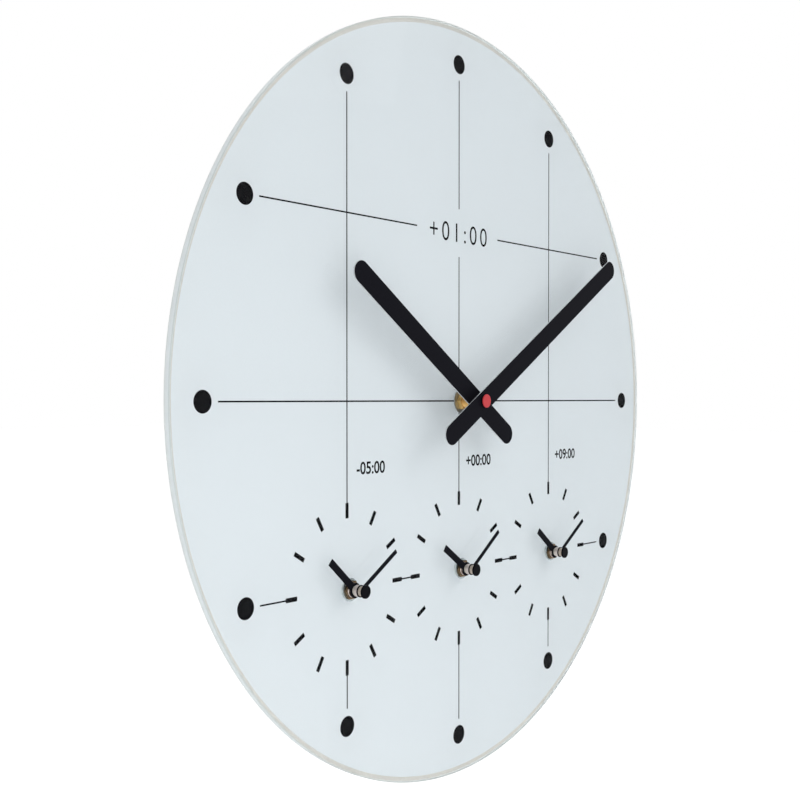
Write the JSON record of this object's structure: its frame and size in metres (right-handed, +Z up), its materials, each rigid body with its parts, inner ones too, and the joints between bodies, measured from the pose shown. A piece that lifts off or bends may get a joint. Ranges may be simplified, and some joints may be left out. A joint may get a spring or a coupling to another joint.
{
  "type": "world time wall clock",
  "caption": "Frameless round glass wall clock with a large pair of hands and a row of small zone dials, each on its own geared quartz movement.",
  "frame": {"origin": "on the wall plane, on the axis of the large hands", "axes": "+Z up, +X towards three o'clock, +Y into the wall, so the dial faces -Y"},
  "size_m": [0.4299, 0.0395, 0.43],
  "materials": {
    "clear_glass": "polished, ground edge",
    "white_coat": "back-painted white",
    "black_print": "screen-printed black",
    "black_hand": "satin black paint",
    "red_cap": "satin red disc on a dark stem",
    "black_cap": "gloss black on a bright skirt",
    "brass": "turned",
    "pale_washer": "pale nylon",
    "gasket_rubber": "soft pad",
    "case_black": "fine texture",
    "screw_steel": "zinc plated",
    "spring_steel": "nickel plated",
    "bridge_plastic": "moulded",
    "motor_iron": "annealed",
    "copper_wire": "enamelled copper winding",
    "board_green": "solder mask",
    "cell_jacket": "plain printed jacket",
    "gear_plastic": "natural moulding",
    "magnet": "sintered",
    "knob_plastic": "moulded, ribbed"
  },
  "bodies": {
    "clock": {"dial_glass": "clear_glass", "white_backing": "white_coat", "hour_dots": "black_print", "sub_dial_ticks": "black_print", "dial_lines": "black_print", "shaft_bushes": "brass", "dial_washers": "pale_washer", "shaft_nuts": "brass", "gaskets": "gasket_rubber", "cover_screws": "screw_steel", "bridge_plates": "bridge_plastic", "stators": "motor_iron", "coils": "copper_wire", "circuit_boards": "board_green", "batteries": "cell_jacket", "battery_contacts": "spring_steel", "main_case": "case_black", "main_cover": "case_black", "left_case": "case_black", "left_cover": "case_black", "middle_case": "case_black", "middle_cover": "case_black", "right_case": "case_black", "right_cover": "case_black"},
    "main_minute": {"main_minute_hand": "black_hand", "main_minute_arbor": "brass", "main_cap": "red_cap"},
    "main_hour": {"main_hour_hand": "black_hand", "main_hour_wheel": "gear_plastic"},
    "main_motion": {"main_motion_wheel": "gear_plastic"},
    "main_third": {"main_third_wheel": "gear_plastic"},
    "main_motor": {"main_rotor": "magnet"},
    "main_setting": {"main_set_knob": "knob_plastic"},
    "left_minute": {"left_minute_hand": "black_hand", "left_minute_arbor": "brass", "left_cap": "black_cap"},
    "left_hour": {"left_hour_hand": "black_hand", "left_hour_wheel": "gear_plastic"},
    "left_motion": {"left_motion_wheel": "gear_plastic"},
    "left_third": {"left_third_wheel": "gear_plastic"},
    "left_motor": {"left_rotor": "magnet"},
    "left_setting": {"left_set_knob": "knob_plastic"},
    "middle_minute": {"middle_minute_hand": "black_hand", "middle_minute_arbor": "brass", "middle_cap": "black_cap"},
    "middle_hour": {"middle_hour_hand": "black_hand", "middle_hour_wheel": "gear_plastic"},
    "middle_motion": {"middle_motion_wheel": "gear_plastic"},
    "middle_third": {"middle_third_wheel": "gear_plastic"},
    "middle_motor": {"middle_rotor": "magnet"},
    "middle_setting": {"middle_set_knob": "knob_plastic"},
    "right_minute": {"right_minute_hand": "black_hand", "right_minute_arbor": "brass", "right_cap": "black_cap"},
    "right_hour": {"right_hour_hand": "black_hand", "right_hour_wheel": "gear_plastic"},
    "right_motion": {"right_motion_wheel": "gear_plastic"},
    "right_third": {"right_third_wheel": "gear_plastic"},
    "right_motor": {"right_rotor": "magnet"},
    "right_setting": {"right_set_knob": "knob_plastic"}
  },
  "joints": [
    {"name": "main_minute_turn", "type": "hinge", "parent": "clock", "child": "main_minute", "pos_m": [0, -0.0214, 0], "axis": [0, 1, 0], "continuous": true},
    {"name": "main_hour_turn", "type": "hinge", "parent": "clock", "child": "main_hour", "pos_m": [0, -0.0214, 0], "axis": [0, 1, 0], "continuous": true},
    {"name": "main_motion_turn", "type": "hinge", "parent": "clock", "child": "main_motion", "pos_m": [-0.00727, -0.0214, 0.0042], "axis": [0, 1, 0], "continuous": true},
    {"name": "main_third_turn", "type": "hinge", "parent": "clock", "child": "main_third", "pos_m": [0.00779, -0.0214, 0.0045], "axis": [0, 1, 0], "continuous": true},
    {"name": "main_rotor_turn", "type": "hinge", "parent": "clock", "child": "main_motor", "pos_m": [0.01204, -0.0214, 0.01186], "axis": [0, 1, 0], "continuous": true},
    {"name": "main_knob_turn", "type": "hinge", "parent": "clock", "child": "main_setting", "pos_m": [-0.00873, -0.0214, 0.01247], "axis": [0, 1, 0], "continuous": true},
    {"name": "left_minute_turn", "type": "hinge", "parent": "clock", "child": "left_minute", "pos_m": [-0.097, -0.0214, -0.097], "axis": [0, 1, 0], "continuous": true},
    {"name": "left_hour_turn", "type": "hinge", "parent": "clock", "child": "left_hour", "pos_m": [-0.097, -0.0214, -0.097], "axis": [0, 1, 0], "continuous": true},
    {"name": "left_motion_turn", "type": "hinge", "parent": "clock", "child": "left_motion", "pos_m": [-0.10427, -0.0214, -0.0928], "axis": [0, 1, 0], "continuous": true},
    {"name": "left_third_turn", "type": "hinge", "parent": "clock", "child": "left_third", "pos_m": [-0.08921, -0.0214, -0.0925], "axis": [0, 1, 0], "continuous": true},
    {"name": "left_rotor_turn", "type": "hinge", "parent": "clock", "child": "left_motor", "pos_m": [-0.08496, -0.0214, -0.08514], "axis": [0, 1, 0], "continuous": true},
    {"name": "left_knob_turn", "type": "hinge", "parent": "clock", "child": "left_setting", "pos_m": [-0.10573, -0.0214, -0.08453], "axis": [0, 1, 0], "continuous": true},
    {"name": "middle_minute_turn", "type": "hinge", "parent": "clock", "child": "middle_minute", "pos_m": [0, -0.0214, -0.097], "axis": [0, 1, 0], "continuous": true},
    {"name": "middle_hour_turn", "type": "hinge", "parent": "clock", "child": "middle_hour", "pos_m": [0, -0.0214, -0.097], "axis": [0, 1, 0], "continuous": true},
    {"name": "middle_motion_turn", "type": "hinge", "parent": "clock", "child": "middle_motion", "pos_m": [-0.00727, -0.0214, -0.0928], "axis": [0, 1, 0], "continuous": true},
    {"name": "middle_third_turn", "type": "hinge", "parent": "clock", "child": "middle_third", "pos_m": [0.00779, -0.0214, -0.0925], "axis": [0, 1, 0], "continuous": true},
    {"name": "middle_rotor_turn", "type": "hinge", "parent": "clock", "child": "middle_motor", "pos_m": [0.01204, -0.0214, -0.08514], "axis": [0, 1, 0], "continuous": true},
    {"name": "middle_knob_turn", "type": "hinge", "parent": "clock", "child": "middle_setting", "pos_m": [-0.00873, -0.0214, -0.08453], "axis": [0, 1, 0], "continuous": true},
    {"name": "right_minute_turn", "type": "hinge", "parent": "clock", "child": "right_minute", "pos_m": [0.097, -0.0214, -0.097], "axis": [0, 1, 0], "continuous": true},
    {"name": "right_hour_turn", "type": "hinge", "parent": "clock", "child": "right_hour", "pos_m": [0.097, -0.0214, -0.097], "axis": [0, 1, 0], "continuous": true},
    {"name": "right_motion_turn", "type": "hinge", "parent": "clock", "child": "right_motion", "pos_m": [0.08973, -0.0214, -0.0928], "axis": [0, 1, 0], "continuous": true},
    {"name": "right_third_turn", "type": "hinge", "parent": "clock", "child": "right_third", "pos_m": [0.10479, -0.0214, -0.0925], "axis": [0, 1, 0], "continuous": true},
    {"name": "right_rotor_turn", "type": "hinge", "parent": "clock", "child": "right_motor", "pos_m": [0.10904, -0.0214, -0.08514], "axis": [0, 1, 0], "continuous": true},
    {"name": "right_knob_turn", "type": "hinge", "parent": "clock", "child": "right_setting", "pos_m": [0.08827, -0.0214, -0.08453], "axis": [0, 1, 0], "continuous": true}
  ],
  "couplings": [
    {"joint": "main_hour_turn", "follows": "main_minute_turn", "ratio": 0.083333},
    {"joint": "main_motion_turn", "follows": "main_minute_turn", "ratio": -0.33333},
    {"joint": "main_third_turn", "follows": "main_minute_turn", "ratio": -8},
    {"joint": "main_rotor_turn", "follows": "main_minute_turn", "ratio": 60},
    {"joint": "main_knob_turn", "follows": "main_minute_turn", "ratio": 1},
    {"joint": "left_hour_turn", "follows": "left_minute_turn", "ratio": 0.083333},
    {"joint": "left_motion_turn", "follows": "left_minute_turn", "ratio": -0.33333},
    {"joint": "left_third_turn", "follows": "left_minute_turn", "ratio": -8},
    {"joint": "left_rotor_turn", "follows": "left_minute_turn", "ratio": 60},
    {"joint": "left_knob_turn", "follows": "left_minute_turn", "ratio": 1},
    {"joint": "middle_hour_turn", "follows": "middle_minute_turn", "ratio": 0.083333},
    {"joint": "middle_motion_turn", "follows": "middle_minute_turn", "ratio": -0.33333},
    {"joint": "middle_third_turn", "follows": "middle_minute_turn", "ratio": -8},
    {"joint": "middle_rotor_turn", "follows": "middle_minute_turn", "ratio": 60},
    {"joint": "middle_knob_turn", "follows": "middle_minute_turn", "ratio": 1},
    {"joint": "right_hour_turn", "follows": "right_minute_turn", "ratio": 0.083333},
    {"joint": "right_motion_turn", "follows": "right_minute_turn", "ratio": -0.33333},
    {"joint": "right_third_turn", "follows": "right_minute_turn", "ratio": -8},
    {"joint": "right_rotor_turn", "follows": "right_minute_turn", "ratio": 60},
    {"joint": "right_knob_turn", "follows": "right_minute_turn", "ratio": 1}
  ]
}
